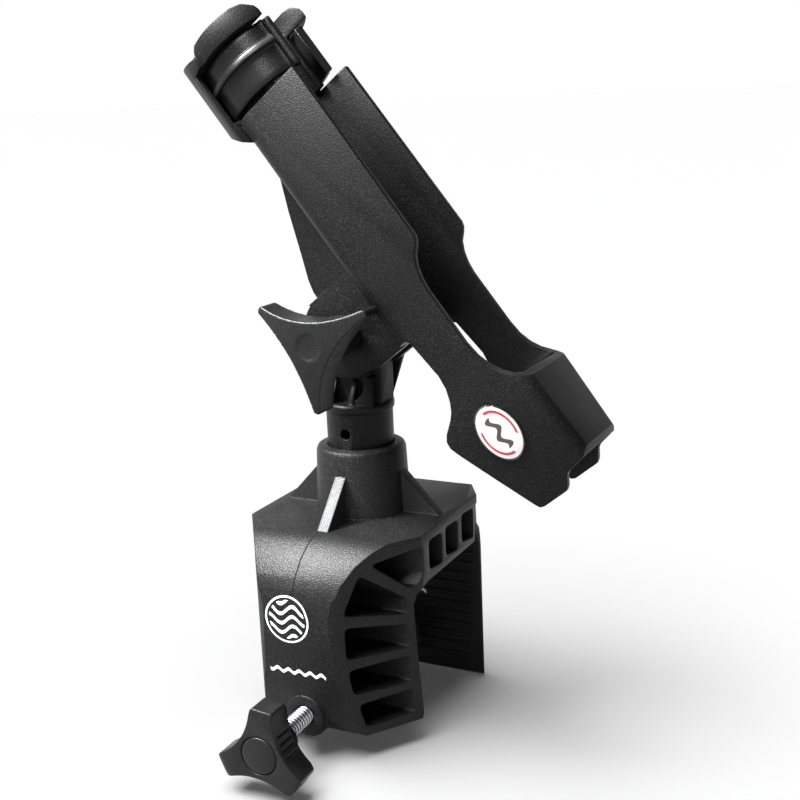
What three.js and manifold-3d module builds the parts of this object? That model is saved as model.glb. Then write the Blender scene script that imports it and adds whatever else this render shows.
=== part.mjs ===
// Clamp-on fishing rod holder. Millimetres, +Z up.
// Origin: on the swivel axis, at the seat face under the clamp's top wall. The clamp knob is on the -Y side.
import * as THREE from "three";
import { mergeVertices } from "three/addons/utils/BufferGeometryUtils.js";
import Module from "manifold-3d";

// ---- clamp ----
const CLAMP_TOP = 23.6; // thickness of the top wall, so height of its top face over the seat
const CLAMP_HALF_WIDTH = 45.2;
const TAPER_START_Y = -30.8; // the front leg narrows in plan from here
const FRONT_Y = -69.3;
const FRONT_HALF_WIDTH = 19;
const REAR_Y = 46.5;
const JAW_Y = 37.8; // gripping face of the rear jaw plate
const JAW_BOTTOM = -76.6;
const JAW_HALF_WIDTH = 45;
const LEG_BOTTOM = -66;
const WEB_HALF = 2.2; // half of the wall left between the pockets of both sides
const POCKET_STOP = 22.5; // pockets in the top wall stop here, beside the socket
const SOCKET_RADIUS = 21.6;
const SOCKET_BASE_RADIUS = 22.8;
const SOCKET_TOP = CLAMP_TOP + 32.4;
const BORE_RADIUS = 16.35;
const BORE_FLOOR = 6.6;
const GUSSET_THICKNESS = 5.4;
const GUSSET_FOOT = 41.3;
const GUSSET_RISE = 20.8;
const SCREW_Z = -56.5;
const BOSS_RADIUS = 9.6;
const BOSS_Y = -66.7;
const SCREW_RADIUS = 4.4;
const SCREW_HOLE_RADIUS = 4.8;
const PAD_Y = 29.5; // face of the pressure pad
const KNOB_FRONT_Y = -105.5;
const KNOB_DEPTH = 13;

// ---- stem ----
const POST_RADIUS = 16;
const COLLAR_RADIUS = 16.9;
const COLLAR_LOW = CLAMP_TOP + 49.6;
const COLLAR_TOP = CLAMP_TOP + 53.6;
const PIN_Z = CLAMP_TOP + 87.1; // height of the tilt axis
const LUG_RADIUS = 17;
const LUG_HALF = 6.5;
const CHEEK_RADIUS = 21.3;
const CHEEK_INNER_Y = 12.2;
const CHEEK_OUTER_Y = 17;

// ---- tilt joint ----
const EAR_RADIUS = 21.2;
const EAR_INNER = 7.2;
const EAR_OUTER = 11.65;
const BOLT_RADIUS = 4;
const BOLT_HOLE_RADIUS = 4.35;
const TILT_KNOB_FRONT = 45; // along the tilt axis from the swivel axis
const TILT_KNOB_DEPTH = 12.5;
const TILT_KNOB_CORNER = 31.6;

// ---- cradle, in its own frame: x along the trough, y across it towards the tilt knob, z to its open side ----
const TILT_DEGREES = 52.1;
const WALL = 3.4;
const TROUGH_BOTTOM = 24.8;
const TROUGH_TOP = 65;
const STRIP_TOP = 54.7; // upper edge of the side strips beside the reel gap
const TUBE_TOP = 69.1;
const MOUTH_X = -68.6; // where the closed tube's top wall begins
const TUBE_END_X = -116.7;
const SHOULDER_X = 101.8; // end face of the trough, beside the lock ring
const HALF_AT_SHOULDER = 25.6;
const HALF_AT_NOTCH = 26.6;
const HALF_AT_STRIP = 27;
const HALF_AT_MOUTH = 26.4;
const HALF_AT_TUBE_END = 22.8;
const LIP_X = 130.8;
const RING_CENTRE = 42; // height of the lock ring's axis over the tilt axis
const LINER_INNER = 20.4;
const LINER_OUTER = 23;
const RING_LOW_X = 104.6;
const RING_HIGH_X = 130.2;
const RING_INNER = 23.5;
const RING_OUTER = 27;
const RING_FLANGE = 29.2;
const FLANGE_X = 117.8;
const RING_NEAR_END = 59; // degrees round the ring axis, 0 towards the tilt knob, 90 to the open side
const RING_FAR_END = 138;
const LIP_RADIUS = 30.3;
const MOUTH_HALF = 19; // half width of the mouth between the lip's tips
const GUARD_INNER = 29.6; // the curved guard under the lock ring
const GUARD_OUTER = 31.8;
const GUARD_SIDE = 54; // degrees that the guard reaches up each side
const BADGE_Y = 26;

const wasm = await Module();
wasm.setup();

// ---- from geometry to solids and back ----
function solid(geometry) {
  const plain = new THREE.BufferGeometry();
  const source = geometry.index ? geometry.toNonIndexed() : geometry;
  plain.setAttribute("position", source.getAttribute("position"));
  const merged = mergeVertices(plain, 1e-4);
  const vertProperties = new Float32Array(merged.attributes.position.array);
  const triVerts = new Uint32Array(merged.index.array);
  const build = () => new wasm.Manifold(new wasm.Mesh({ numProp: 3, vertProperties, triVerts }));
  const made = build();
  if (made.volume() > 0) return made;
  for (let i = 0; i < triVerts.length; i += 3) {
    [triVerts[i], triVerts[i + 1]] = [triVerts[i + 1], triVerts[i]];
  }
  return build();
}

const join = (...parts) => parts.reduce((all, part) => all.add(part));
const cut = (body, ...tools) => tools.reduce((left, tool) => left.subtract(tool), body);
const mirrorX = (body) => body.scale([-1, 1, 1]);
const mirrorY = (body) => body.scale([1, -1, 1]);

function extruded(points, depth) {
  const shape = new THREE.Shape(points.map(([a, b]) => new THREE.Vector2(a, b)));
  return new THREE.ExtrudeGeometry(shape, { depth, bevelEnabled: false });
}

// Points are x and y; the slab stands between z0 and z1.
function slabZ(points, z0, z1) {
  return solid(extruded(points, z1 - z0).translate(0, 0, z0));
}

// Points are x and z; the slab runs from y0 to y1.
function slabY(points, y0, y1) {
  return solid(extruded(points, y1 - y0).rotateX(Math.PI / 2).translate(0, y1, 0));
}

// Points are y and z; the slab runs from x0 to x1.
function slabX(points, x0, x1) {
  const turn = new THREE.Matrix4().set(0, 0, 1, 0, 1, 0, 0, 0, 0, 1, 0, 0, 0, 0, 0, 1);
  return solid(extruded(points, x1 - x0).applyMatrix4(turn).translate(x0, 0, 0));
}

function box(x0, x1, y0, y1, z0, z1) {
  const g = new THREE.BoxGeometry(x1 - x0, y1 - y0, z1 - z0);
  return solid(g.translate((x0 + x1) / 2, (y0 + y1) / 2, (z0 + z1) / 2));
}

// A closed profile of radius and height turned round an axis.
function turned(profile, axis, segments = 32) {
  const points = profile.map(([r, h]) => new THREE.Vector2(r, h));
  points.push(points[0].clone());
  const g = new THREE.LatheGeometry(points, segments);
  if (axis === "x") g.rotateZ(-Math.PI / 2);
  if (axis === "z") g.rotateX(Math.PI / 2);
  return solid(g);
}

function rod(radius, axis, from, to, segments = 32) {
  return turned([[0, from], [radius, from], [radius, to], [0, to]], axis, segments);
}

function tube(inner, outer, axis, from, to, segments = 32) {
  return turned([[inner, from], [outer, from], [outer, to], [inner, to]], axis, segments);
}

function move(body, x, y, z) {
  return body.translate([x, y, z]);
}

// A polygon with its corners rounded to one radius.
function rounded(points, radius, steps = 4) {
  const out = [];
  points.forEach((corner, i) => {
    const p = new THREE.Vector2(...corner);
    const before = new THREE.Vector2(...points[(i + points.length - 1) % points.length]).sub(p);
    const after = new THREE.Vector2(...points[(i + 1) % points.length]).sub(p);
    const reach = Math.min(radius, before.length() * 0.45, after.length() * 0.45);
    const a = before.setLength(reach).add(p);
    const b = after.setLength(reach).add(p);
    for (let k = 0; k <= steps; k++) {
      const t = k / steps;
      const x = (1 - t) * (1 - t) * a.x + 2 * t * (1 - t) * p.x + t * t * b.x;
      const y = (1 - t) * (1 - t) * a.y + 2 * t * (1 - t) * p.y + t * t * b.y;
      out.push([x, y]);
    }
  });
  return out;
}

function polar(radius, degrees, cx = 0, cy = 0) {
  const a = THREE.MathUtils.degToRad(degrees);
  return [cx + radius * Math.cos(a), cy + radius * Math.sin(a)];
}

function arc(radius, fromDegrees, toDegrees, steps, cx = 0, cy = 0) {
  const out = [];
  for (let k = 0; k <= steps; k++) {
    out.push(polar(radius, fromDegrees + ((toDegrees - fromDegrees) * k) / steps, cx, cy));
  }
  return out;
}

// A solid through cross-sections, each {x, points} with the same count of y and z points.
function loft(sections) {
  const count = sections[0].points.length;
  const position = [];
  const index = [];
  sections.forEach(({ x, points }) => points.forEach(([y, z]) => position.push(x, y, z)));
  for (let s = 0; s + 1 < sections.length; s++) {
    for (let i = 0; i < count; i++) {
      const j = (i + 1) % count;
      const a = s * count;
      const b = a + count;
      index.push(a + i, b + i, b + j, a + i, b + j, a + j);
    }
  }
  const last = (sections.length - 1) * count;
  const flat = sections[0].points.map(([y, z]) => new THREE.Vector2(y, z));
  for (const [p, q, r] of THREE.ShapeUtils.triangulateShape(flat, [])) {
    index.push(p, q, r, last + p, last + r, last + q);
  }
  const g = new THREE.BufferGeometry();
  g.setAttribute("position", new THREE.Float32BufferAttribute(position, 3));
  g.setIndex(index);
  return solid(g);
}

// A rounded rectangle across the trough: half width, bottom, top, bottom and top corner radius.
function section(half, bottom, top, lowRadius, topRadius) {
  return [
    ...arc(lowRadius, 180, 270, 6, -half + lowRadius, bottom + lowRadius),
    ...arc(lowRadius, 270, 360, 6, half - lowRadius, bottom + lowRadius),
    ...arc(topRadius, 0, 90, 6, half - topRadius, top - topRadius),
    ...arc(topRadius, 90, 180, 6, -half + topRadius, top - topRadius),
  ];
}

// A three-cornered knob outline: corner radius and width, and the radius at the hollow sides.
function triangleKnob(corner, width, waist, startDegrees) {
  const out = [];
  for (let k = 0; k < 3; k++) {
    const a = startDegrees + 120 * k;
    const side = THREE.MathUtils.radToDeg(Math.atan2(width / 2, corner));
    const tip = Math.hypot(corner, width / 2);
    const from = polar(tip, a + side);
    const to = polar(tip, a + 120 - side);
    const middle = polar(waist, a + 60);
    out.push(polar(tip, a - side));
    for (let i = 0; i < 8; i++) {
      const t = i / 8;
      const pull = [2 * middle[0] - (from[0] + to[0]) / 2, 2 * middle[1] - (from[1] + to[1]) / 2];
      out.push([
        (1 - t) * (1 - t) * from[0] + 2 * t * (1 - t) * pull[0] + t * t * to[0],
        (1 - t) * (1 - t) * from[1] + 2 * t * (1 - t) * pull[1] + t * t * to[1],
      ]);
    }
  }
  return out;
}

// ---- clamp ----
function clampProfile() {
  const z = (v) => CLAMP_TOP + v;
  return [
    [REAR_Y, z(0)], [-45, z(0)], [-51.8, z(-2.6)], [-58.8, z(-7.2)], [-64.9, z(-14.2)],
    [-68.1, z(-21.5)], [FRONT_Y, z(-29)], [-69, z(-40)], [-68.2, z(-58)], [-66.4, z(-70)],
    [-63.9, z(-79.5)], [-59.6, z(-88.2)], [-57.3, LEG_BOTTOM], [-33, LEG_BOTTOM],
    [-32.3, z(-87)], [-34.4, z(-50)], [-35, z(-32)], [-33.5, z(-27.4)], [-29.6, z(-24.4)],
    [-25, 0], [33.5, 0], [36.7, -1], [JAW_Y, -4], [JAW_Y, JAW_BOTTOM + 1.4],
    [JAW_Y + 1.2, JAW_BOTTOM], [JAW_Y + 4.6, JAW_BOTTOM], [43.6, JAW_BOTTOM + 2], [45.8, 0],
  ];
}

// The clamp seen from above: full width behind, narrowing to the front leg's face.
function clampPlan() {
  const half = [
    [0, REAR_Y + 1], [36, REAR_Y + 1], [36.4, REAR_Y], [CLAMP_HALF_WIDTH - 1, 32.2], [CLAMP_HALF_WIDTH, 29.5],
    [CLAMP_HALF_WIDTH, TAPER_START_Y + 0.8], [CLAMP_HALF_WIDTH - 0.6, TAPER_START_Y - 0.9],
    [FRONT_HALF_WIDTH + 3, -64.6], [FRONT_HALF_WIDTH + 1, -67.2], [FRONT_HALF_WIDTH - 2.6, FRONT_Y - 0.1],
    [FRONT_HALF_WIDTH - 6, FRONT_Y - 0.6], [0, FRONT_Y - 0.8],
  ];
  return [...half, ...half.slice(1, -1).reverse().map(([x, y]) => [-x, y])];
}

// The jaw plate from behind: narrow where it leaves the top wall, full width below it.
function jawOutline() {
  const right = [[39.4, CLAMP_TOP - 6], [39.8, 4], [JAW_HALF_WIDTH - 2, -1.4], [JAW_HALF_WIDTH - 0.8, -6],
    [JAW_HALF_WIDTH, -52], [JAW_HALF_WIDTH, JAW_BOTTOM + 1], [JAW_HALF_WIDTH - 1, JAW_BOTTOM - 1]];
  return [...right, ...right.slice().reverse().map(([x, z]) => [-x, z])];
}

// The jaw plate from above: its sides slope in towards the rear.
function jawPlan() {
  const right = [[JAW_HALF_WIDTH + 1, 30], [JAW_HALF_WIDTH + 0.2, JAW_Y], [JAW_HALF_WIDTH - 4.6, REAR_Y],
    [JAW_HALF_WIDTH - 6, 50]];
  return [...right, ...right.slice().reverse().map(([x, y]) => [-x, y])];
}

// The thin edge of the top wall that stands out past the jaw plate's corners.
function topEdge() {
  const right = [[30, 20], [CLAMP_HALF_WIDTH, 20], [CLAMP_HALF_WIDTH + 0.5, 32.2], [37, REAR_Y + 0.2],
    [30, REAR_Y + 0.2]];
  const slab = slabZ(right, CLAMP_TOP - 4.4, CLAMP_TOP);
  return join(slab, mirrorX(slab));
}

// Pockets in each side face, as y and z, and how near the middle they come.
function pocketList() {
  const z = (v) => CLAMP_TOP + v;
  const front = [
    [[-52.5, z(-8)], [-29.2, z(-4.6)], [-29.2, z(-18)], [-33.5, z(-23.2)], [-37, z(-23)]],
    [[-57.4, z(-11.4)], [-64.8, z(-28.9)], [-38, z(-35.4)], [-37.4, z(-28.2)]],
    [[-64.4, z(-34.6)], [-37.6, z(-40.4)], [-37.4, z(-51.8)], [-64.2, z(-50)]],
    [[-63.7, z(-55.4)], [-37.3, z(-55.8)], [-36.6, z(-69.2)], [-61.9, z(-67.9)]],
    [[-60, z(-73.2)], [-36.4, z(-73)], [-35.6, z(-85)], [-57.4, z(-85.2)]],
  ];
  const top = [[-23.2, -8.6], [-4.8, 9.6], [13.9, 28.3]].map(([a, b]) => [
    [a, z(-4.6)], [b, z(-5.4)], [b, z(-20.8)], [a, z(-19)],
  ]);
  return [
    ...front.map((points) => ({ points, stop: WEB_HALF })),
    ...top.map((points) => ({ points, stop: POCKET_STOP })),
  ];
}

function clampBody() {
  const upper = slabX(clampProfile(), -50, 50).intersect(slabZ(clampPlan(), LEG_BOTTOM - 20, CLAMP_TOP + 1));
  const jaw = slabX([[JAW_Y, CLAMP_TOP - 7], [JAW_Y, JAW_BOTTOM + 1.4], [JAW_Y + 1.2, JAW_BOTTOM],
    [JAW_Y + 4.6, JAW_BOTTOM], [43.6, JAW_BOTTOM + 2], [45.2, CLAMP_TOP - 7]], -50, 50);
  const shapedJaw = jaw.intersect(slabY(jawOutline(), 30, 50)).intersect(slabZ(jawPlan(), -80, 30));
  let body = join(upper, shapedJaw, topEdge());
  for (const { points, stop } of pocketList()) {
    const right = slabX(rounded(points, 2.4, 2), stop, 60);
    body = cut(body, right, mirrorX(right));
  }
  body = join(body, jawRidges(), socket(), boss());
  const hole = rod(SCREW_HOLE_RADIUS, "y", BOSS_Y - 2, -20, 32);
  const nutPocket = slabY(arc(8.2, 0, 300, 5).map(([x, z]) => [x, z + SCREW_Z]), -40.3, -20);
  const bore = rod(BORE_RADIUS, "z", BORE_FLOOR, SOCKET_TOP + 1, 48);
  const screwHole = rod(4.4, "z", 3, BORE_FLOOR + 1, 32);
  const recess = rod(9.6, "z", -1, 4.6, 40);
  return cut(body, move(hole, 0, 0, SCREW_Z), nutPocket, bore, screwHole, recess);
}

// Rounded horizontal ridges that bite the rail.
function jawRidges() {
  const ridges = [];
  for (let k = 0; k < 11; k++) {
    const z = -10 - 5.6 * k;
    const base = JAW_Y + 0.4;
    const crest = JAW_Y - 0.8;
    ridges.push(slabX([[base, z - 1.3], [base, z + 1.3], [crest, z + 0.3], [crest, z - 0.3]], -40, 40));
  }
  return join(...ridges);
}

function socket() {
  const wall = turned([[0, 5], [SOCKET_BASE_RADIUS, 5], [SOCKET_BASE_RADIUS, CLAMP_TOP],
    [SOCKET_RADIUS, SOCKET_TOP - 2.6], [SOCKET_RADIUS - 0.8, SOCKET_TOP - 0.9],
    [SOCKET_RADIUS - 2.6, SOCKET_TOP], [0, SOCKET_TOP]], "z", 48);
  const foot = [[12, CLAMP_TOP - 1], [GUSSET_FOOT, CLAMP_TOP - 1], [GUSSET_FOOT, CLAMP_TOP],
    [SOCKET_RADIUS, CLAMP_TOP + GUSSET_RISE], [17.5, CLAMP_TOP + GUSSET_RISE]];
  const right = slabY(foot, -GUSSET_THICKNESS / 2, GUSSET_THICKNESS / 2);
  const quarter = [0, 90, 180, 270].map((turn) => right.rotate([0, 0, turn]));
  return join(wall, ...quarter);
}

// The screw boss at the foot of the front leg, with a step behind its face.
function boss() {
  const core = rod(BOSS_RADIUS, "y", BOSS_Y, -33.5, 36);
  const step = rod(BOSS_RADIUS + 1.7, "y", BOSS_Y + 2.2, -58, 36);
  return move(join(core, step), 0, 0, SCREW_Z);
}

// ---- clamp screw ----
function hexPrism(acrossCorners, hole, y0, y1) {
  return cut(slabY(arc(acrossCorners / 2, 0, 300, 5), y0, y1), rod(hole, "y", y0 - 1, y1 + 1, 32));
}

// The thread is left smooth at its outer size, and its tip is turned down to hold the pad.
function clampScrew() {
  const neck = PAD_Y - 8;
  return turned([[0, KNOB_FRONT_Y + 6], [3.4, KNOB_FRONT_Y + 6], [3.4, KNOB_FRONT_Y + KNOB_DEPTH + 4.6],
    [SCREW_RADIUS, KNOB_FRONT_Y + KNOB_DEPTH + 5.2], [SCREW_RADIUS, neck - 0.8], [3, neck],
    [3, PAD_Y - 3.6], [0, PAD_Y - 3.6]], "y", 24);
}

// The split ring that keeps the pad on the screw's tip.
function padClip() {
  const ring = tube(3.25, 5.6, "y", PAD_Y - 7.6, PAD_Y - 6.7, 24);
  return cut(ring, box(-1.4, 1.4, PAD_Y - 9, PAD_Y - 5, 0, 8));
}

function knobInsert() {
  return hexPrism(11.4, 3.7, KNOB_FRONT_Y + 6, KNOB_FRONT_Y + KNOB_DEPTH + 4.3);
}

function clampKnob() {
  const back = KNOB_FRONT_Y + KNOB_DEPTH;
  const lobes = slabY(rounded(triangleKnob(21.4, 11, 11.2, 84), 1.4, 3), KNOB_FRONT_Y, back);
  const core = slabY(rounded(triangleKnob(20.9, 10, 10.7, 84), 1.4, 3), KNOB_FRONT_Y + 0.4, back - 0.4);
  const crown = turned([[0, KNOB_FRONT_Y - 1], [15, KNOB_FRONT_Y - 1], [23.4, KNOB_FRONT_Y + 1.1],
    [23.4, back - 2], [17, back + 1], [0, back + 1]], "y", 36);
  const hub = turned([[0, back - 1], [10.4, back - 1], [9.6, back + 4], [0, back + 4]], "y", 40);
  const seat = rod(9.1, "y", KNOB_FRONT_Y - 2, KNOB_FRONT_Y + 2.2, 40);
  const hole = slabY(arc(6, 0, 300, 5), KNOB_FRONT_Y + 5.7, back + 5);
  const grooves = [24, 144, 264].flatMap((middle) => [-24, -8, 8, 24].map((off) => gripGroove(middle, off)));
  const grooved = cut(lobes, ...grooves);
  return cut(join(join(grooved, core).intersect(crown), hub), seat, hole);
}

// The space of a shallow groove along the knob's depth: a thin slab standing out from the hollow side.
function gripGroove(middle, off) {
  const slab = [[8, -0.55], [18, -0.55], [18, 0.55], [8, 0.55]];
  const side = slabY(slab, KNOB_FRONT_Y + 2.4, KNOB_FRONT_Y + KNOB_DEPTH - 1.2);
  return side.rotate([0, -(middle + off), 0]);
}

function knobCap() {
  return turned([[0, KNOB_FRONT_Y + 1.9], [8.8, KNOB_FRONT_Y + 1.9], [8.8, KNOB_FRONT_Y + 0.3],
    [8.1, KNOB_FRONT_Y - 0.3], [4.5, KNOB_FRONT_Y - 0.9], [0, KNOB_FRONT_Y - 1.1]], "y", 40);
}

function pressurePad() {
  return turned([[0, PAD_Y], [12.6, PAD_Y], [13.6, PAD_Y - 0.8], [13.6, PAD_Y - 2.6], [6.6, PAD_Y - 3.4],
    [6.6, PAD_Y - 6.4], [3.4, PAD_Y - 6.4], [3.4, PAD_Y - 3.2], [0, PAD_Y - 3.2]], "y", 32);
}

// ---- stem ----
function hanging(radius, footHalf, footZ) {
  const side = THREE.MathUtils.radToDeg(Math.asin(Math.min(0.95, footHalf / radius))) * 0.35;
  return [[footHalf, footZ], ...arc(radius, -side, 180 + side, 22, 0, PIN_Z), [-footHalf, footZ]];
}

function stem() {
  const post = turned([[4.2, 26], [4.2, BORE_FLOOR + 0.4], [POST_RADIUS - 1, BORE_FLOOR + 0.4],
    [POST_RADIUS, BORE_FLOOR + 1.4], [POST_RADIUS, COLLAR_LOW - 0.4], [COLLAR_RADIUS - 0.3, COLLAR_LOW],
    [COLLAR_RADIUS, COLLAR_LOW + 0.8], [COLLAR_RADIUS, COLLAR_TOP - 0.9], [COLLAR_RADIUS - 0.8, COLLAR_TOP],
    [0, COLLAR_TOP], [0, 26]], "z", 48);
  const lug = slabY(hanging(LUG_RADIUS, 15.2, COLLAR_TOP - 2), -LUG_HALF, LUG_HALF);
  const cheek = slabY(hanging(CHEEK_RADIUS, 11.2, COLLAR_TOP - 3), CHEEK_INNER_Y, CHEEK_OUTER_Y);
  const base = slabX([[LUG_HALF - 1, COLLAR_TOP - 1], [LUG_HALF - 1, COLLAR_TOP + 5.5], [9, COLLAR_TOP + 7],
    [CHEEK_INNER_Y + 1, COLLAR_TOP + 11.4], [CHEEK_OUTER_Y - 0.2, COLLAR_TOP + 11.4],
    [CHEEK_OUTER_Y - 0.4, COLLAR_TOP - 1]], -12, 12);
  const ribs = [-8, 2.6, 12].map((x) => rib(x));
  const webSide = [[2, -1], [2, 0.6], [5.4, 2.6], [8.2, 5.6], [9.9, 9.4], [10.6, 13.4], [13.1, 13.4],
    [13.1, -1]];
  const web = slabY(webSide.map(([x, z]) => [x, COLLAR_TOP + z]), -12.4, 1 - LUG_HALF);
  const foot = COLLAR_RADIUS - 0.1;
  const lowPart = turned([[0, COLLAR_TOP - 6], [foot, COLLAR_TOP - 6], [foot, COLLAR_TOP - 1],
    [24, COLLAR_TOP + 22], [24, PIN_Z + 30], [0, PIN_Z + 30]], "z", 48);
  const head = join(lug, cheek, base, web, ...ribs).intersect(lowPart);
  const cross = move(rod(2.6, "y", -30, 30, 24), 0.3, 0, CLAMP_TOP + 39.6);
  const boltHole = move(rod(BOLT_HOLE_RADIUS, "y", -30, 30, 32), 0, 0, PIN_Z);
  const nutPocket = move(slabY(arc(8, 0, 300, 5), CHEEK_OUTER_Y - 2.2, 30), 0, 0, PIN_Z);
  const nearSeat = rod(13.4, "y", -30, 1.2 - LUG_HALF, 40);
  const farSeat = rod(13.4, "y", LUG_HALF - 1.2, LUG_HALF + 0.5, 40);
  const discSeats = move(join(nearSeat, farSeat), 0, 0, PIN_Z);
  return cut(join(post, head), cross, boltHole, nutPocket, discSeats);
}

// A short upright rib on the near side, between the collar and the ear.
function rib(x) {
  const z = COLLAR_TOP;
  const inner = 1 - LUG_HALF;
  const side = [[inner, z - 1], [-13.4, z - 1], [-13, z + 2], [inner - 2.5, z + 11], [inner, z + 11]];
  return slabX(side, x - 1.1, x + 1.1);
}

function frictionDisc(side) {
  const ring = move(tube(4.9, 13, "y", LUG_HALF - 0.9, EAR_INNER - 0.3, 40), 0, 0, PIN_Z);
  return side > 0 ? ring : mirrorY(ring);
}

// ---- tilt knob, its bolt, washer and nut ----
function tiltKnob() {
  const front = -TILT_KNOB_FRONT;
  const back = front + TILT_KNOB_DEPTH + 2.2;
  const plate = slabY(rounded(triangleKnob(TILT_KNOB_CORNER, 3.4, 11.3, 30.6), 1.6, 3), front, back + 4);
  const dome = turned([[0, front], [7, front + 0.2], [13, front + 0.7], [19, front + 1.6], [25, front + 2.9],
    [32.5, front + 5], [32.5, back + 2.6], [22, back + 1.2], [12, back + 0.2], [0, back]], "y", 40);
  const hubEnd = -EAR_OUTER - 2.4;
  const hub = turned([[0, back - 2], [10.5, back - 2], [9.2, hubEnd], [0, hubEnd]], "y", 40);
  const dish = turned([[0, front - 2], [6.6, front - 2], [6.6, front + 0.1], [5.4, front + 0.7],
    [0, front + 1.1]], "y", 40);
  const hole = rod(BOLT_RADIUS + 0.3, "y", front + 5, 0, 28);
  return move(cut(join(plate.intersect(dome), hub), dish, hole), 0, 0, PIN_Z);
}

function tiltBolt() {
  const from = 5.4 - TILT_KNOB_FRONT;
  const to = CHEEK_OUTER_Y + 4.8;
  const bolt = turned([[0, from], [BOLT_RADIUS, from], [BOLT_RADIUS, to - 0.8], [BOLT_RADIUS - 0.8, to],
    [0, to]], "y", 28);
  return move(bolt, 0, 0, PIN_Z);
}

function tiltWasher() {
  return move(tube(4.4, 9, "y", -EAR_OUTER - 2, -EAR_OUTER - 0.4, 40), 0, 0, PIN_Z);
}

function tiltNut() {
  return move(hexPrism(15, BOLT_RADIUS + 0.3, CHEEK_OUTER_Y - 1.9, CHEEK_OUTER_Y + 3.4), 0, 0, PIN_Z);
}

// ---- cradle ----
function cradleOutline() {
  return [
    [SHOULDER_X, TROUGH_TOP], [10.4, TROUGH_TOP], [8.2, TROUGH_TOP - 0.8], [6.2, 62.6], [3.4, 59.4], [-1, 57],
    [-6, 55.5], [-11.5, STRIP_TOP + 0.1], [-40, STRIP_TOP], [-47, 55.4], [-53, 57.2], [-58, 60], [-62, 63.4],
    [-65.4, 66.6], [MOUTH_X, TUBE_TOP + 1], [-104.4, TUBE_TOP + 1], [-106.8, TUBE_TOP - 1.4], [-108.6, 66],
    [-110.2, 56.6], [-111.4, 54.9], [-115, 52.4], [TUBE_END_X + 0.2, 50.4], [TUBE_END_X, 37.6],
    [-115.9, 35.6], [-113.6, 34.4],
    [-76, 19.2], [-72.4, 18.2], [-69.2, 18.8], [-66.6, 21], [-62.7, 26.6], [-60, 29.5], [-56, 32],
    [-50.5, 34.2], [-44, 35.1], [-25, 33.2], [-22.9, 31.6], [-22.6, TROUGH_BOTTOM - 1], [SHOULDER_X, TROUGH_BOTTOM - 1],
  ];
}

// One cross-section of the open trough, or of the space inside it when inset.
function troughSection(x, half, inset) {
  return { x, points: section(half - inset, TROUGH_BOTTOM + inset, 80, inset ? 6 : 8.5, 2) };
}

// One cross-section of the closed tube, or of the space inside it when inset.
function tubeSection(x, half, low, inset) {
  return { x, points: section(half - inset, low + inset, TUBE_TOP - inset, inset ? 3 : 2.5, inset ? 4 : 6.5) };
}

function troughSpace() {
  return loft([troughSection(SHOULDER_X + 0.2, HALF_AT_SHOULDER, WALL), troughSection(10, HALF_AT_NOTCH, WALL),
    troughSection(-40, HALF_AT_STRIP, WALL), troughSection(-63, HALF_AT_MOUTH, WALL)]);
}

function trough() {
  const outer = loft([troughSection(SHOULDER_X, HALF_AT_SHOULDER, 0), troughSection(10, HALF_AT_NOTCH, 0),
    troughSection(-40, HALF_AT_STRIP, 0), troughSection(-50, HALF_AT_STRIP - 0.25, 0)]);
  const cupOuter = loft([tubeSection(-46, HALF_AT_STRIP - 0.15, 16, 0), tubeSection(-64, HALF_AT_MOUTH, 16, 0),
    tubeSection(-73, HALF_AT_MOUTH - 0.3, 17, 0), tubeSection(TUBE_END_X - 1.3, HALF_AT_TUBE_END, 32, 0)]);
  const cupInner = loft([tubeSection(-57, HALF_AT_MOUTH, 18.6, WALL),
    tubeSection(-73, HALF_AT_MOUTH - 0.3, 18.6, WALL),
    tubeSection(TUBE_END_X - 2.3, HALF_AT_TUBE_END, 35.4, WALL)]);
  const shell = cut(join(outer, cupOuter), troughSpace(), cupInner);
  // The bottom wall ends short of the two tabs.
  const gapHalf = HALF_AT_TUBE_END - WALL + 0.4;
  const tabGap = box(TUBE_END_X - 3, TUBE_END_X + 6.4, -gapHalf, gapHalf, 20, 53);
  return cut(shell.intersect(slabY(cradleOutline(), -40, 40)), tabGap);
}

// A sector of a ring round the lock ring's axis, from and to in degrees, along x.
function ringSector(inner, outer, from, to, x0, x1) {
  const steps = Math.ceil((to - from) / 8);
  const points = [...arc(outer, from, to, steps), ...arc(inner, to, from, steps)];
  return slabX(points, x0, x1);
}

// The reduced half-round that the lock ring turns on.
function liner() {
  return move(ringSector(LINER_INNER, LINER_OUTER, 155, 385, SHOULDER_X - 2.4, LIP_X + 2), 0, 0, RING_CENTRE);
}

// The lip beyond the lock ring: two tips beside the mouth, on a thicker base with slanted ends.
function endLip() {
  const side = [[LIP_X, 9], [142.4, 9], [141, 14.4], [135.8, 29.8], [138, 31.4], [139.8, 34], [140.4, 42],
    [140.6, 50], [140.7, 57], [139.6, 61.6], [136.4, 64.6], [132.4, 66], [LIP_X, 66.2]];
  const wall = ringSector(LINER_INNER, LIP_RADIUS, 120, 420, LIP_X, 144);
  const mouth = box(LIP_X - 1, 145, -MOUTH_HALF, MOUTH_HALF, 4, 40);
  const base = ringSector(LIP_RADIUS - 1, GUARD_OUTER, 202, 338, LIP_X, 144);
  return move(join(cut(wall, mouth), base), 0, 0, RING_CENTRE).intersect(slabY(side, -40, 40));
}

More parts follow.
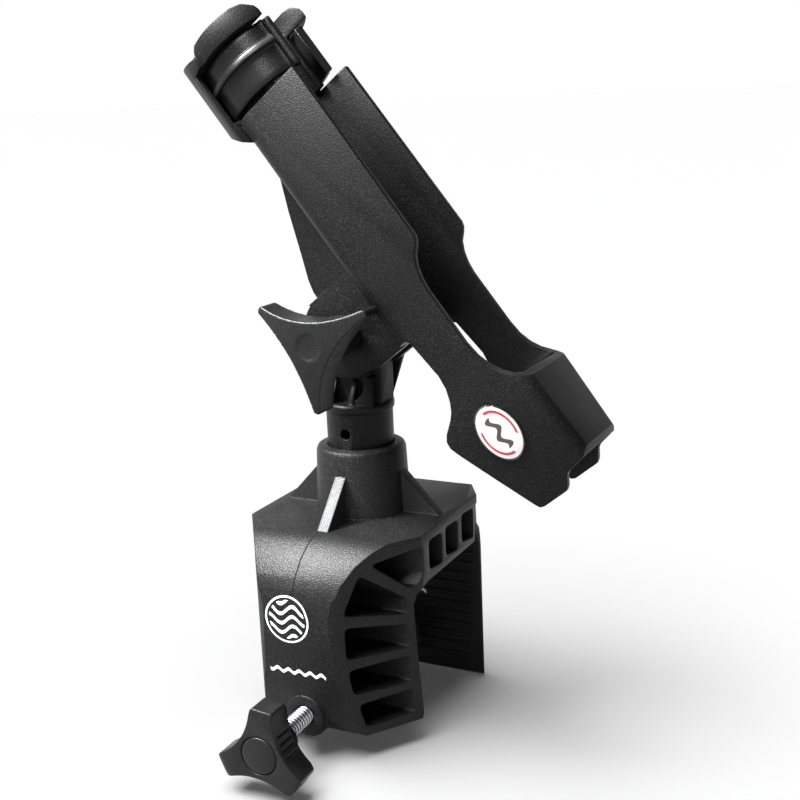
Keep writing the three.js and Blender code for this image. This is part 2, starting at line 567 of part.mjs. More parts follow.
// The curved guard under the lock ring, and the thick end that ties it to the trough.
function guard() {
  const from = 270 - GUARD_SIDE;
  const to = 270 + GUARD_SIDE;
  const shell = ringSector(GUARD_INNER, GUARD_OUTER, from, to, SHOULDER_X - 12, LIP_X + 2);
  const root = ringSector(LINER_INNER, GUARD_OUTER, from, to, SHOULDER_X - 12, RING_LOW_X - 1);
  const side = [[110.3, 7], [LIP_X + 2, 7], [LIP_X + 2, 30], [91.3, 30], [91.3, 26]];
  const inside = box(SHOULDER_X - 13, SHOULDER_X + 0.1, -30, 30, TROUGH_BOTTOM + 1, 60);
  return cut(move(join(shell, root), 0, 0, RING_CENTRE).intersect(slabY(side, -40, 40)), inside);
}

function earPlate() {
  const outline = [[21, 27], [21, -1.5], ...arc(EAR_RADIUS, -6, -178, 20), [-22.4, 2.5], [-22.4, 27]];
  return slabY(outline, EAR_INNER, EAR_OUTER);
}

function keel() {
  const web = [[93.5, TROUGH_BOTTOM + 1], [88, 20.4], [76.5, 15.4], [62.6, 8.9], [43.5, 1], [32, -4],
    [26, -5.6], [19, -5.8], [19, TROUGH_BOTTOM + 1]];
  const crossWall = box(18.7, 21, -EAR_OUTER, EAR_OUTER, -6.2, TROUGH_BOTTOM + 1);
  return join(slabY(web, -2.5, 2.5), crossWall);
}

function cradle() {
  const ear = earPlate();
  const body = join(trough(), cut(liner(), troughSpace()), endLip(), guard(), ear, mirrorY(ear), keel());
  return cut(body, rod(BOLT_HOLE_RADIUS, "y", -30, 30, 32));
}

// The clear dome over the plain oval plate on the near side of the tube.
function badgeDome() {
  const dome = new THREE.LatheGeometry([[0, 0], [1, 0], [1, 0.4], [0.93, 0.8], [0.7, 1.25], [0, 1.6]]
    .map(([r, h]) => new THREE.Vector2(r, h)), 40);
  dome.scale(13.6, 1, 9.8);
  return onTubeSide(solid(dome), BADGE_Y + 0.8);
}

function onTubeSide(body, y) {
  return move(body.rotate([0, 0, 4.4]), -79.5, y, 42.8);
}

function badgePlate() {
  return onTubeSide(rod(1, "y", 0, 0.5, 40).scale([13.2, 1, 9.4]), BADGE_Y);
}

// A split band with a flange round its middle, and two ridges by the end that is pushed.
function lockRing() {
  const from = RING_FAR_END;
  const to = RING_NEAR_END + 360;
  const band = ringSector(RING_INNER, RING_OUTER, from, to, RING_LOW_X, RING_HIGH_X);
  const flange = ringSector(RING_INNER, RING_FLANGE, from + 12, to - 10, FLANGE_X - 0.8, FLANGE_X + 1.2);
  const foot = ringSector(RING_INNER, RING_FLANGE - 1.4, from + 8, to - 8, FLANGE_X - 2.4, FLANGE_X + 2);
  const ridge = (start, stop, rise) =>
    ringSector(RING_OUTER - 1, RING_OUTER + rise, start, stop, RING_LOW_X, RING_HIGH_X);
  const grips = join(ridge(to - 7, to, 1), ridge(to - 13.2, to - 9.4, 0.8));
  return move(join(band, flange, foot, grips, ridge(from, from + 4, 0.6)), 0, 0, RING_CENTRE);
}

// ---- swivel fixings under the seat ----
function swivelWasher() {
  return tube(4.2, 8.9, "z", 3.3, 4.3, 40);
}

function swivelScrew() {
  return turned([[0, 1.9], [6.6, 1.9], [6.6, 3], [3.9, 3], [3.9, 24], [0, 24]], "z", 32);
}

// The plug that closes the recess, flush with the seat face.
function seatPlug() {
  return rod(9.3, "z", 0, 1.6, 40);
}

// ---- put together ----
const colours = {
  body: [0x17191b, 0.55, 0],
  satin: [0x1b1d1f, 0.48, 0],
  gloss: [0x0e0f11, 0.22, 0],
  rubber: [0x0c0c0c, 0.85, 0],
  zinc: [0xb9bec4, 0.3, 1],
  brass: [0xb08a45, 0.35, 1],
  badge: [0xe9e8e3, 0.15, 0],
  clear: [0xf2f4f5, 0.05, 0],
};

const rodHolder = new THREE.Group();
rodHolder.name = "rod_holder";

function place(name, body, look, frame = null) {
  const data = (frame ? body.transform(frame.elements) : body).getMesh();
  const geometry = new THREE.BufferGeometry();
  geometry.setAttribute("position", new THREE.Float32BufferAttribute(data.vertProperties, 3));
  geometry.setIndex(new THREE.Uint32BufferAttribute(data.triVerts, 1));
  const [color, roughness, metalness] = colours[look];
  const flat = geometry.toNonIndexed();
  flat.computeVertexNormals();
  const mesh = new THREE.Mesh(flat, new THREE.MeshStandardMaterial({ color, roughness, metalness }));
  mesh.name = name;
  rodHolder.add(mesh);
}

// The cradle's frame stands on the tilt axis: its x climbs towards -X, its y is the clamp knob's side.
function cradleFrame() {
  const t = THREE.MathUtils.degToRad(TILT_DEGREES);
  const along = new THREE.Vector3(-Math.cos(t), 0, Math.sin(t));
  const across = new THREE.Vector3(0, -1, 0);
  const open = new THREE.Vector3(Math.sin(t), 0, Math.cos(t));
  return new THREE.Matrix4().makeBasis(along, across, open).setPosition(0, 0, PIN_Z);
}

const tilted = cradleFrame();
const atScrew = (body) => move(body, 0, 0, SCREW_Z);

place("clamp_body", clampBody(), "body");
place("screw_nut", atScrew(hexPrism(15.6, SCREW_RADIUS + 0.3, -40, -34.6)), "zinc");
place("clamp_screw", atScrew(clampScrew()), "zinc");
place("clamp_knob", atScrew(clampKnob()), "satin");
place("clamp_knob_cap", atScrew(knobCap()), "satin");
place("knob_insert", atScrew(knobInsert()), "brass");
place("pad_clip", atScrew(padClip()), "zinc");
place("pressure_pad", atScrew(pressurePad()), "rubber");
place("seat_plug", seatPlug(), "satin");
place("swivel_screw", swivelScrew(), "zinc");
place("swivel_washer", swivelWasher(), "zinc");
place("stem", stem(), "body");
place("friction_disc_near", frictionDisc(-1), "rubber");
place("friction_disc_far", frictionDisc(1), "rubber");
place("tilt_knob", tiltKnob(), "satin");
place("tilt_bolt", tiltBolt(), "zinc");
place("tilt_washer", tiltWasher(), "body");
place("tilt_nut", tiltNut(), "zinc");
place("cradle", cradle(), "body", tilted);
place("badge_plate", badgePlate(), "badge", tilted);
place("badge_dome", badgeDome(), "clear", tilted);
place("lock_ring", lockRing(), "gloss", tilted);

export default rodHolder;
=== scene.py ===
"""Looks for the clamp-on rod holder, in metres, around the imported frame."""
import bpy
import math
from mathutils import Matrix, Vector


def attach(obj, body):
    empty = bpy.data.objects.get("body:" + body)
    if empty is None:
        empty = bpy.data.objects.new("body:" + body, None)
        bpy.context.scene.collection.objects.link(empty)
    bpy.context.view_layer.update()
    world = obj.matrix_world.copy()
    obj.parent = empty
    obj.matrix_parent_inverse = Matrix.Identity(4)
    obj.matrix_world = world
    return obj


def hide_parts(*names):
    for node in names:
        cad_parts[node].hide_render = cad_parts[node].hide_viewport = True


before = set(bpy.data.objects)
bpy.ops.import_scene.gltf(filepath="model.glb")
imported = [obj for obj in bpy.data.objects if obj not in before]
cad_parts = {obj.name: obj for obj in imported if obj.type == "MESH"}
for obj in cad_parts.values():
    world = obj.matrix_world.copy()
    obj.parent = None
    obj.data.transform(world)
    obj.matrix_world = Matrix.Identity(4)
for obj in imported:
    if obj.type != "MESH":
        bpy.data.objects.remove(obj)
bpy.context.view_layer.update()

MM = 0.001
CLAMP_TOP = 23.6
PIN_Z = CLAMP_TOP + 87.1
TILT = math.radians(52.1)
SCREW_Z = -56.5
KNOB_BACK_Y = -92.5
PAD_Y = 29.5
FLOOR_Z = -78.0
SCREW_ROOT = 3.35
SCREW_CREST = 4.4
THREAD_PITCH = 2.0

# The camera stands on the knob side, a little above and to the right, and is slightly rolled.
CAMERA_AZIMUTH = math.radians(26.763)
CAMERA_ELEVATION = math.radians(14.022)
CAMERA_ROLL = math.radians(2.34)
CAMERA_RIGHT = 20.67
CAMERA_UP = 50.24
CAMERA_BACK = 607.21

# The mould's parting line down the clamp's front.
PARTING_X = -1.7
PARTING_HALF = 0.3

RING_CENTRE = 42.0
RING_LOW_X = 104.6
RING_HIGH_X = 130.2
RING_INNER = 23.5
RING_OUTER = 27.0
FLANGE_RISE = 2.2
FLANGE_X = 117.8
RING_START = 138
RING_END = 419

# The cradle's own frame: x climbs along the trough, y points to the tilt knob, z to the open side.
ALONG = Vector((-math.cos(TILT), 0, math.sin(TILT)))
ACROSS = Vector((0, -1, 0))
OPEN = Vector((math.sin(TILT), 0, math.cos(TILT)))
PIN = Vector((0, 0, PIN_Z))


def cradle_point(x, y, z):
    """A point of the cradle's own frame, in metres of the row frame."""
    return (PIN + x * ALONG + y * ACROSS + z * OPEN) * MM


# ---- camera, light and floor ----
def make_camera():
    level = math.cos(CAMERA_ELEVATION)
    back = Vector((
        math.sin(CAMERA_AZIMUTH) * level,
        -math.cos(CAMERA_AZIMUTH) * level,
        math.sin(CAMERA_ELEVATION),
    ))
    right = Vector((math.cos(CAMERA_AZIMUTH), math.sin(CAMERA_AZIMUTH), 0))
    up = back.cross(right)
    offset = CAMERA_RIGHT * right + CAMERA_UP * up + CAMERA_BACK * back
    place = (offset + Vector((0, 0, CLAMP_TOP))) * MM
    turned_right = math.cos(CAMERA_ROLL) * right - math.sin(CAMERA_ROLL) * up
    turned_up = math.sin(CAMERA_ROLL) * right + math.cos(CAMERA_ROLL) * up
    data = bpy.data.cameras.new("camera")
    data.sensor_width = 36
    data.lens = 55.94
    data.shift_x = -0.0031
    data.clip_start = 0.01
    cam = bpy.data.objects.new("camera", data)
    cam.matrix_world = Matrix((turned_right, turned_up, back)).transposed().to_4x4()
    cam.matrix_world.translation = place
    bpy.context.collection.objects.link(cam)
    bpy.context.scene.camera = cam


def area_light(name, at, target, size, power):
    data = bpy.data.lights.new(name, "AREA")
    data.shape = "RECTANGLE"
    data.size, data.size_y = size
    data.energy = power
    lamp = bpy.data.objects.new(name, data)
    lamp.location = at
    lamp.rotation_mode = "QUATERNION"
    lamp.rotation_quaternion = (Vector(target) - Vector(at)).to_track_quat("-Z", "Y")
    bpy.context.collection.objects.link(lamp)
    return lamp


def dark_card(name, centre, turn_degrees, width, height):
    """A black card out of the picture, which keeps the faces towards it dark."""
    turn = math.radians(turn_degrees)
    side = Vector((math.cos(turn), -math.sin(turn), 0)) * width / 2
    rise = Vector((0, 0, height / 2))
    middle = Vector(centre)
    corners = [middle - side - rise, middle + side - rise, middle + side + rise, middle - side + rise]
    card = flat_sheet(name, corners, matt(name, 0.01))
    card.visible_camera = False


def matt(name, value):
    material, _, _, shader = new_material(name)
    shader.inputs["Base Color"].default_value = (value, value, value, 1)
    shader.inputs["Roughness"].default_value = 0.9
    return material


def flat_sheet(name, corners, material):
    mesh = bpy.data.meshes.new(name)
    mesh.from_pydata([tuple(c) for c in corners], [], [(0, 1, 2, 3)])
    mesh.materials.append(material)
    sheet = bpy.data.objects.new(name, mesh)
    bpy.context.collection.objects.link(sheet)
    return sheet


def make_world():
    """Bright near and below the horizon, dim overhead."""
    world = bpy.data.worlds.new("studio")
    bpy.context.scene.world = world
    world.use_nodes = True
    nodes, links = world.node_tree.nodes, world.node_tree.links
    height = nodes.new("ShaderNodeSeparateXYZ")
    links.new(nodes.new("ShaderNodeTexCoord").outputs["Generated"], height.inputs[0])
    glow = ramp(nodes, links, height.outputs["Z"], [(0.22, (1, 1, 1)), (0.36, (0.05, 0.05, 0.05))])
    links.new(glow, nodes["Background"].inputs[0])


def make_overhead():
    """A wide, soft sun from above."""
    data = bpy.data.lights.new("overhead", "SUN")
    data.energy = 3.3
    data.angle = math.radians(50)
    overhead = bpy.data.objects.new("overhead", data)
    overhead.rotation_mode = "QUATERNION"
    overhead.rotation_quaternion = Vector((0.22, 0.2, -1)).to_track_quat("-Z", "Y")
    bpy.context.collection.objects.link(overhead)


def make_floor():
    half = 30
    corners = [(-half, -half, 0), (half, -half, 0), (half, half, 0), (-half, half, 0)]
    floor = flat_sheet("floor", corners, matt("floor_white", 0.9))
    floor.location.z = FLOOR_Z * MM
    return floor


def leave_unlit(thing, lamps):
    """The lamps light everything but this."""
    unlit = bpy.data.collections.new("unlit_by_keys")
    unlit.objects.link(thing)
    unlit.collection_objects[0].light_linking.link_state = "EXCLUDE"
    for lamp in lamps:
        lamp.light_linking.receiver_collection = unlit


def make_stage():
    make_world()
    make_overhead()
    keys = [
        area_light("key_left", (-0.54, -0.38, 0.93), (0, 0, 0.05), (0.3, 0.3), 62),
        area_light("front_high", (-0.1, -0.75, 0.85), (-0.06, 0, 0.17), (0.3, 0.3), 9),
        area_light("near_top", (-0.34, -0.42, 0.5), (-0.06, 0, 0.2), (0.16, 0.16), 1.8),
    ]
    dark_card("card_right", (0.42, 0.3, 0.1), 60, 0.5, 0.36)
    bpy.context.scene.view_settings.view_transform = "Standard"
    leave_unlit(make_floor(), keys)


# ---- materials ----
def new_material(name):
    material = bpy.data.materials.new(name)
    material.use_nodes = True
    nodes, links = material.node_tree.nodes, material.node_tree.links
    return material, nodes, links, nodes["Principled BSDF"]


def noise(nodes, links, coords, scale, detail, roughness=0.5):
    n = nodes.new("ShaderNodeTexNoise")
    n.inputs["Scale"].default_value = scale
    n.inputs["Detail"].default_value = detail
    n.inputs["Roughness"].default_value = roughness
    links.new(coords, n.inputs["Vector"])
    return n.outputs["Fac"]


def ramp(nodes, links, value, stops):
    r = nodes.new("ShaderNodeValToRGB")
    r.color_ramp.elements[0].position, r.color_ramp.elements[1].position = stops[0][0], stops[-1][0]
    r.color_ramp.elements[0].color = (*stops[0][1], 1)
    r.color_ramp.elements[1].color = (*stops[-1][1], 1)
    links.new(value, r.inputs["Fac"])
    return r.outputs["Color"]


def spread(nodes, links, value, low, high):
    r = nodes.new("ShaderNodeMapRange")
    r.inputs["To Min"].default_value = low
    r.inputs["To Max"].default_value = high
    links.new(value, r.inputs["Value"])
    return r.outputs["Result"]


def mix(nodes, links, amount, first, second):
    m = nodes.new("ShaderNodeMix")
    m.data_type = "RGBA"
    links.new(amount, m.inputs["Factor"])
    for socket, value in ((m.inputs["A"], first), (m.inputs["B"], second)):
        if isinstance(value, tuple):
            socket.default_value = (*value, 1)
        else:
            links.new(value, socket)
    return m.outputs["Result"]


class Sums:
    """Arithmetic on sockets and plain numbers."""

    def __init__(self, nodes, links):
        self.nodes, self.links = nodes, links

    def __call__(self, operation, *values):
        n = self.nodes.new("ShaderNodeMath")
        n.operation = operation
        for socket, value in zip(n.inputs, values):
            if isinstance(value, (int, float)):
                socket.default_value = value
            else:
                self.links.new(value, socket)
        return n.outputs[0]

    def along(self, coords, direction, origin):
        """Distance in millimetres from origin (metres) along a direction."""
        n = self.nodes.new("ShaderNodeVectorMath")
        n.operation = "DOT_PRODUCT"
        self.links.new(coords, n.inputs[0])
        n.inputs[1].default_value = direction
        return self("MULTIPLY", self("SUBTRACT", n.outputs["Value"], Vector(direction).dot(origin)), 1 / MM)

    def near(self, value, centre, half):
        """1 where value is within half of centre."""
        return self("LESS_THAN", self("ABSOLUTE", self("SUBTRACT", value, centre)), half)

    def radius(self, a, b):
        return self("SQRT", self("ADD", self("MULTIPLY", a, a), self("MULTIPLY", b, b)))


def plastic(name, dark, light, rough, grain, specular, gloss_spread=0.06, edge=0.5, speckle=3):
    """Moulded plastic: fine grain with pale flecks, slow tone and gloss changes, softened edges."""
    material, nodes, links, shader = new_material(name)
    coords = nodes.new("ShaderNodeTexCoord").outputs["Object"]
    flow = noise(nodes, links, coords, 18, 3)
    base = ramp(nodes, links, flow, [(0.3, dark), (0.72, light)])
    specks = noise(nodes, links, coords, 1500, 1)
    fleck = ramp(nodes, links, specks, [(0.5, (0, 0, 0)), (0.75, (1, 1, 1))])
    tone = mix(nodes, links, fleck, base, tuple(speckle * c for c in light))
    links.new(tone, shader.inputs["Base Color"])
    cloud = noise(nodes, links, coords, 55, 4, 0.6)
    gloss = spread(nodes, links, cloud, rough - gloss_spread, rough + gloss_spread)
    links.new(gloss, shader.inputs["Roughness"])
    soft = nodes.new("ShaderNodeBevel")
    soft.samples = 6
    soft.inputs["Radius"].default_value = edge * MM
    bump = nodes.new("ShaderNodeBump")
    bump.inputs["Strength"].default_value = grain
    bump.inputs["Distance"].default_value = 0.00035
    links.new(noise(nodes, links, coords, 1700, 1, 0.5), bump.inputs["Height"])
    links.new(soft.outputs["Normal"], bump.inputs["Normal"])
    links.new(bump.outputs["Normal"], shader.inputs["Normal"])
    shader.inputs["IOR"].default_value = 1.5
    shader.inputs["Specular IOR Level"].default_value = specular
    return material, tone, coords


def printed_waves(do, coords):
    """1 where there is ink: a round emblem of waves with a wavy stripe under it."""
    x = do.along(coords, (1, 0, 0), Vector((-4.6 * MM, 0, 0)))
    z = do.along(coords, (0, 0, 1), Vector((0, 0, -9 * MM)))
    r = do.radius(x, z)
    swell = do("MULTIPLY", do("SINE", do("MULTIPLY", x, 0.5)), 1.9)
    bands = do("LESS_THAN", do("PINGPONG", do("SUBTRACT", z, swell), 2.3), 0.85)
    emblem = do("MAXIMUM", do.near(r, 10.8, 0.45), do("MULTIPLY", bands, do("LESS_THAN", r, 9.2)))
    ripple = do("ADD", z, do("MULTIPLY", do("SINE", do("MULTIPLY", x, 1.1)), 0.8))
    stripe = do("MULTIPLY", do.near(ripple, -25.5, 0.9), do.near(x, 3.5, 14.5))
    return do("MAXIMUM", emblem, stripe)


def gusset_face(do, across, depth, height, front):
    """1 on the sloping cut face of the front gusset."""
    above = do("GREATER_THAN", height, CLAMP_TOP + 0.3)
    below = do("LESS_THAN", height, CLAMP_TOP + 20.9)
    on_rib = do("MULTIPLY", do("MULTIPLY", do.near(across, 0, 2.72), above), below)
    return do("MULTIPLY", do("MULTIPLY", on_rib, front), do("LESS_THAN", depth, -21.9))


def parting_groove(do, across, depth):
    """1 in the middle of the parting line and 0 at its sides."""
    on_line = do("MULTIPLY", do.near(across, PARTING_X, PARTING_HALF), do("LESS_THAN", depth, -41.5))
    aside = do("MULTIPLY", do("ABSOLUTE", do("SUBTRACT", across, PARTING_X)), 1 / PARTING_HALF)
    return do("MULTIPLY", on_line, do("SUBTRACT", 1, aside))


def clamp_plastic(name, dark, light, rough, grain, specular):
    """The clamp's plastic: white print on its front, a gusset cut face with scoring lines and a painted
    highlight, and a parting line.
    """
    material, tone, coords = plastic(name, dark, light, rough, grain, specular, edge=0.9)
    nodes, links = material.node_tree.nodes, material.node_tree.links
    do = Sums(nodes, links)
    outward = nodes.new("ShaderNodeSeparateXYZ")
    links.new(nodes.new("ShaderNodeTexCoord").outputs["Normal"], outward.inputs[0])
    front = do("LESS_THAN", outward.outputs["Y"], -0.4)
    middle = Vector((0, 0, 0))
    across = do.along(coords, (1, 0, 0), middle)
    depth = do.along(coords, (0, 1, 0), middle)
    height = do.along(coords, (0, 0, 1), middle)

    # Painted highlight on the gusset's cut face: its grey is painted far lighter than the plastic, with the
    # scoring as stripes across it.
    scoring = do("PINGPONG", do("ADD", across, 0.3), 0.45)
    scoring_lines_and_highlight = ramp(nodes, links, scoring, [(0.1, (0.035, 0.036, 0.038)), (0.4, (0.11, 0.115, 0.12))])
    scored_and_highlit = mix(nodes, links, gusset_face(do, across, depth, height, front), tone, scoring_lines_and_highlight)
    ink = do("MULTIPLY", printed_waves(do, coords), front)
    printed = mix(nodes, links, ink, scored_and_highlit, (0.62, 0.63, 0.64))
    links.new(printed, nodes["Principled BSDF"].inputs["Base Color"])

    bump_height = nodes["Bump"].inputs["Height"]
    grain_height = bump_height.links[0].from_socket
    groove = do("MULTIPLY", parting_groove(do, across, depth), 2)
    links.new(do("SUBTRACT", grain_height, groove), bump_height)
    return material


def badge_print():
    """A white plate printed with a dark wave between two red arcs."""
    material, nodes, links, shader = new_material("badge_print")
    coords = nodes.new("ShaderNodeTexCoord").outputs["Object"]
    do = Sums(nodes, links)
    centre = cradle_point(-79.5, 26, 42.8)
    x = do.along(coords, tuple(ALONG), centre)
    z = do.along(coords, tuple(OPEN), centre)
    oval = do.radius(do("DIVIDE", x, 13.2), do("DIVIDE", z, 9.4))
    slant = do("ABSOLUTE", do("ADD", z, do("MULTIPLY", x, 0.5)))
    arcs = do("MULTIPLY", do.near(oval, 0.78, 0.05), do("GREATER_THAN", slant, 4.5))
    swell = do("MULTIPLY", do("SINE", do("MULTIPLY", x, 0.75)), 1.5)
    wave = do("MULTIPLY", do.near(do("SUBTRACT", z, swell), 0, 1.3), do("LESS_THAN", oval, 0.6))
    mottle = noise(nodes, links, coords, 300, 2)
    paper = ramp(nodes, links, mottle, [(0.3, (0.84, 0.84, 0.83)), (0.7, (0.9, 0.9, 0.89))])
    rim = mix(nodes, links, do("GREATER_THAN", oval, 0.955), paper, (0.03, 0.03, 0.03))
    red = mix(nodes, links, arcs, rim, (0.5, 0.02, 0.025))
    links.new(mix(nodes, links, wave, red, (0.045, 0.025, 0.015)), shader.inputs["Base Color"])
    shader.inputs["Roughness"].default_value = 0.4
    return material


def clear_dome():
    """The clear resin over the badge."""
    material, nodes, links, shader = new_material("clear_dome")
    coords = nodes.new("ShaderNodeTexCoord").outputs["Object"]
    cloud = noise(nodes, links, coords, 120, 2)
    tint = ramp(nodes, links, cloud, [(0.3, (0.97, 0.98, 0.98)), (0.7, (1, 1, 1))])
    links.new(tint, shader.inputs["Base Color"])
    wear = noise(nodes, links, coords, 260, 3)
    links.new(spread(nodes, links, wear, 0.02, 0.08), shader.inputs["Roughness"])
    shader.inputs["IOR"].default_value = 1.3
    shader.inputs["Transmission Weight"].default_value = 1
    return material


def metal(name, colour, rough):
    """Bare or plated metal with slow changes of tone and gloss."""
    material, nodes, links, shader = new_material(name)
    coords = nodes.new("ShaderNodeTexCoord").outputs["Object"]
    pale = tuple(min(1, c * 1.12) for c in colour)
    tone = ramp(nodes, links, noise(nodes, links, coords, 90, 4), [(0.3, colour), (0.75, pale)])
    links.new(tone, shader.inputs["Base Color"])
    shader.inputs["Metallic"].default_value = 1
    wear = noise(nodes, links, coords, 400, 3)
    links.new(spread(nodes, links, wear, rough - 0.06, rough + 0.1), shader.inputs["Roughness"])
    return material, tone, coords


def zinc_with_painted_thread_shade():
    """Zinc with painted shade down in the thread: the colour darkens towards the root."""
    material, tone, coords = metal("zinc_thread", (0.5, 0.5, 0.52), 0.26)
    nodes, links = material.node_tree.nodes, material.node_tree.links
    do = Sums(nodes, links)
    x = do.along(coords, (1, 0, 0), Vector((0, 0, 0)))
    z = do.along(coords, (0, 0, 1), Vector((0, 0, SCREW_Z * MM)))
    # Painted shade: the colour goes nearly black towards the thread's root, where shade would fall.
    above_root = do("SUBTRACT", do.radius(x, z), SCREW_ROOT)
    rise = do("DIVIDE", above_root, SCREW_CREST - SCREW_ROOT)
    shade = ramp(nodes, links, rise, [(0.1, (0.015, 0.015, 0.016)), (0.75, (1, 1, 1))])
    dim = nodes.new("ShaderNodeMix")
    dim.data_type = "RGBA"
    dim.blend_type = "MULTIPLY"
    dim.inputs["Factor"].default_value = 1
    links.new(tone, dim.inputs["A"])
    links.new(shade, dim.inputs["B"])
    links.new(dim.outputs["Result"], nodes["Principled BSDF"].inputs["Base Color"])
    return material


def grey(value):
    """A grey with a touch of blue."""
    return (value, value, value * 1.04)


def make_materials():
    return {
        "clamp": clamp_plastic("clamp_moulded", grey(0.0032), grey(0.006), 0.4, 0.6, 0.2),
        "body": plastic("black_moulded", grey(0.0025), grey(0.0045), 0.42, 0.4, 0.13)[0],
        "cradle": plastic("black_cradle", grey(0.0025), grey(0.0045), 0.4, 0.4, 0.13, edge=0.8)[0],
        "satin": plastic("satin_knob", grey(0.003), grey(0.006), 0.36, 0.3, 0.26, edge=0.9, speckle=2)[0],
        "gloss": plastic(
            "polished_ring", grey(0.003), grey(0.005), 0.3, 0.2, 0.18, gloss_spread=0.05, speckle=1.5
        )[0],
        "rubber": plastic("rubber", grey(0.006), grey(0.01), 0.8, 0.5, 0.12, edge=0.3)[0],
        "zinc": metal("zinc", (0.62, 0.63, 0.65), 0.24)[0],
        # The screw's zinc, with painted shade in the thread roots.
        "thread": zinc_with_painted_thread_shade(),
        "brass": metal("brass", (0.6, 0.42, 0.17), 0.3)[0],
        "badge": badge_print(),
        "dome": clear_dome(),
    }


# ---- CAD nodes and the pieces that stand for some of them ----
def finish_cad(node, material, width=0.5, segments=2):
    """A CAD node keeps its shape, but modifiers soften its edges and its material is replaced."""
    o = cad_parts[node]
    o.data.materials.clear()
    o.data.materials.append(material)
    weld = o.modifiers.new("weld", "WELD")
    weld.merge_threshold = 0.00001
    flat = o.modifiers.new("flat", "DECIMATE")
    flat.decimate_type = "DISSOLVE"
    flat.angle_limit = math.radians(1)
    bevel = o.modifiers.new("bevel", "BEVEL")
    bevel.width = width * MM
    bevel.segments = segments
    bevel.limit_method = "ANGLE"
    bevel.angle_limit = math.radians(28)
    for p in o.data.polygons:
        p.use_smooth = True


def remesh(node, material, voxel, rounds):
    """For a knob moulded with soft corners: its CAD node is rounded all over."""
    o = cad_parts[node]
    o.data.materials.clear()
    o.data.materials.append(material)
    grid = o.modifiers.new("grid", "REMESH")
    grid.mode = "VOXEL"
    grid.voxel_size = voxel * MM
    grid.use_smooth_shade = True
    soft = o.modifiers.new("soft", "SMOOTH")
    soft.factor = 0.5
    soft.iterations = rounds


def grid_piece(name, rows, material, body, node, capped=True):
    """A closed skin through rows of points, each row a loop with the same count."""
    count = len(rows[0])
    faces = []
    for i in range(len(rows) - 1):
        for j in range(count):
            k = (j + 1) % count
            faces.append((i * count + j, i * count + k, (i + 1) * count + k, (i + 1) * count + j))
    if capped:
        faces.append(tuple(reversed(range(count))))
        faces.append(tuple((len(rows) - 1) * count + j for j in range(count)))
    mesh = bpy.data.meshes.new(name)
    mesh.from_pydata([tuple(p) for row in rows for p in row], [], faces)
    mesh.materials.append(material)
    for p in mesh.polygons:
        p.use_smooth = len(p.vertices) == 4
    o = bpy.data.objects.new(name, mesh)
    bpy.context.collection.objects.link(o)
    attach(o, body)
    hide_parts(node)


def smooth_step(value):
    t = min(1, max(0, value))
    return t * t * (3 - 2 * t)


def bump_between(value, low, high):
    """A rounded ridge between low and high: 0 at both ends and 1 in the middle."""
    t = (value - low) / (high - low)
    return math.sin(math.pi * t) ** 0.6 if 0 < t < 1 else 0


def ring_rise(x, angle):
    """How far the lock ring's skin stands over its plain band."""
    past = x - FLANGE_X - 0.6
    if past > 0:
        flange = FLANGE_RISE * math.sqrt(max(0, 1 - (past / 3.8) ** 2))
    else:
        flange = FLANGE_RISE * math.exp(past / 0.7)
    ends = smooth_step((angle - RING_START - 9) / 6) * smooth_step((RING_END - 8.5 - angle) / 2)
    edge = RING_END - angle
    grip = 1.0 * bump_between(edge, -1.2, 7.2)
    ridge = 0.9 * bump_between(edge, 9, 13.6)
    stop = 0.6 * smooth_step((RING_START + 4.4 - angle) / 1.2)
    return max(flange * ends, grip, ridge, stop)


def lock_ring(material):
    low, high = RING_LOW_X, RING_HIGH_X
    xs = [low, low + 0.15, low + 0.6, low + 3, low + 7]
    xs += [FLANGE_X - 2.6 + 0.25 * k for k in range(30)]
    xs += [high - 7, high - 3, high - 0.6, high - 0.15, high]
    drops = {0: 0.6, 1: 0.18, len(xs) - 2: 0.18, len(xs) - 1: 0.6}
    angles = [RING_START + 0.15, RING_START + 0.6, RING_START + 2, RING_START + 3.4, RING_START + 4.6]
    angles += [RING_START + 7 + 2 * k for k in range(128)]
    angles += [RING_END - 15 + 0.35 * k for k in range(42)] + [RING_END - 0.25, RING_END - 0.1]
    rows = []
    for angle in angles:
        a = math.radians(angle)
        nearest = min(angle - RING_START, RING_END - angle)
        round_off = 0.5 * (1 - smooth_step(nearest / 1.4)) ** 2
        loop = [(low + 0.3, RING_INNER)]
        for i, x in enumerate(xs):
            loop.append((x, RING_OUTER + ring_rise(x, angle) - drops.get(i, 0) - round_off))
        loop += [(high - 0.3, RING_INNER)]
        rows.append([cradle_point(x, r * math.cos(a), RING_CENTRE + r * math.sin(a)) for x, r in loop])
    grid_piece("lock_ring_skin", rows, material, "lock_ring", "lock_ring")


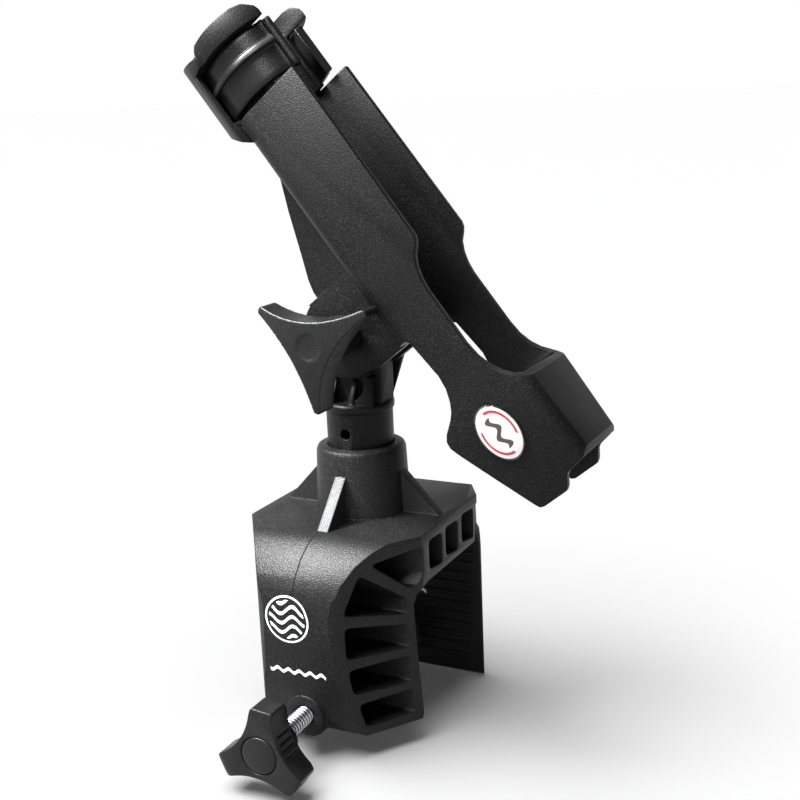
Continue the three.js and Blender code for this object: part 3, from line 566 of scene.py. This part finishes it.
def clamp_screw(material):
    """The clamp screw with its rolled thread, turned down at both ends."""
    neck = PAD_Y - 8
    start = KNOB_BACK_Y + 5.2
    plain = [(KNOB_BACK_Y - 7, 2.6), (KNOB_BACK_Y - 6.6, 3.3), (start - 0.5, 3.3)]
    count = int((neck - 0.6 - start) / (THREAD_PITCH / 8))
    thread = [start + k * THREAD_PITCH / 8 for k in range(count)]
    tail = [(neck, 2.95), (PAD_Y - 3.7, 2.95), (PAD_Y - 3.6, 2.7)]
    rows = []
    for y, radius in plain:
        rows.append(screw_row(y, lambda angle: radius))
    for y in thread:
        ends = min(y - start, neck - 0.6 - y)
        fade = smooth_step(ends / 1.0)
        rows.append(screw_row(y, lambda angle: thread_radius(y, angle, fade)))
    for y, radius in tail:
        rows.append(screw_row(y, lambda angle: radius))
    grid_piece("screw_thread", rows, material, "screw", "clamp_screw")


def thread_radius(y, angle, fade):
    """The thread's skin at a place along the screw; fade takes it down to the root at both ends."""
    height = thread_height(y / THREAD_PITCH - angle / math.tau)
    return SCREW_ROOT + fade * (SCREW_CREST - SCREW_ROOT) * height


def thread_height(phase):
    """0 in the root and 1 on the crest of a thread, by turns along it."""
    t = abs((phase % 1) - 0.5) * 2
    return smooth_step((t - 0.15) / 0.7)


def screw_row(y, radius_at):
    """One loop of points around the clamp screw."""
    row = []
    for k in range(24):
        angle = math.tau * k / 24
        r = radius_at(angle)
        row.append(Vector((r * math.cos(angle), y, SCREW_Z - r * math.sin(angle))) * MM)
    return row


materials = make_materials()
make_camera()
make_stage()

finish_cad("clamp_body", materials["clamp"], 0.6)
for node in ("stem", "seat_plug", "tilt_washer"):
    finish_cad(node, materials["body"])
finish_cad("cradle", materials["cradle"], 0.6)
remesh("tilt_knob", materials["satin"], 0.45, 6)
for node in ("clamp_knob", "clamp_knob_cap"):
    finish_cad(node, materials["satin"], 0.7)
for node in ("pressure_pad", "friction_disc_near", "friction_disc_far"):
    finish_cad(node, materials["rubber"], 0.3)
for node in ("screw_nut", "pad_clip", "swivel_screw", "swivel_washer", "tilt_bolt", "tilt_nut"):
    finish_cad(node, materials["zinc"], 0.2)
finish_cad("knob_insert", materials["brass"], 0.2)
finish_cad("badge_plate", materials["badge"], 0.1)
finish_cad("badge_dome", materials["dome"], 0.1)
lock_ring(materials["gloss"])
clamp_screw(materials["thread"])
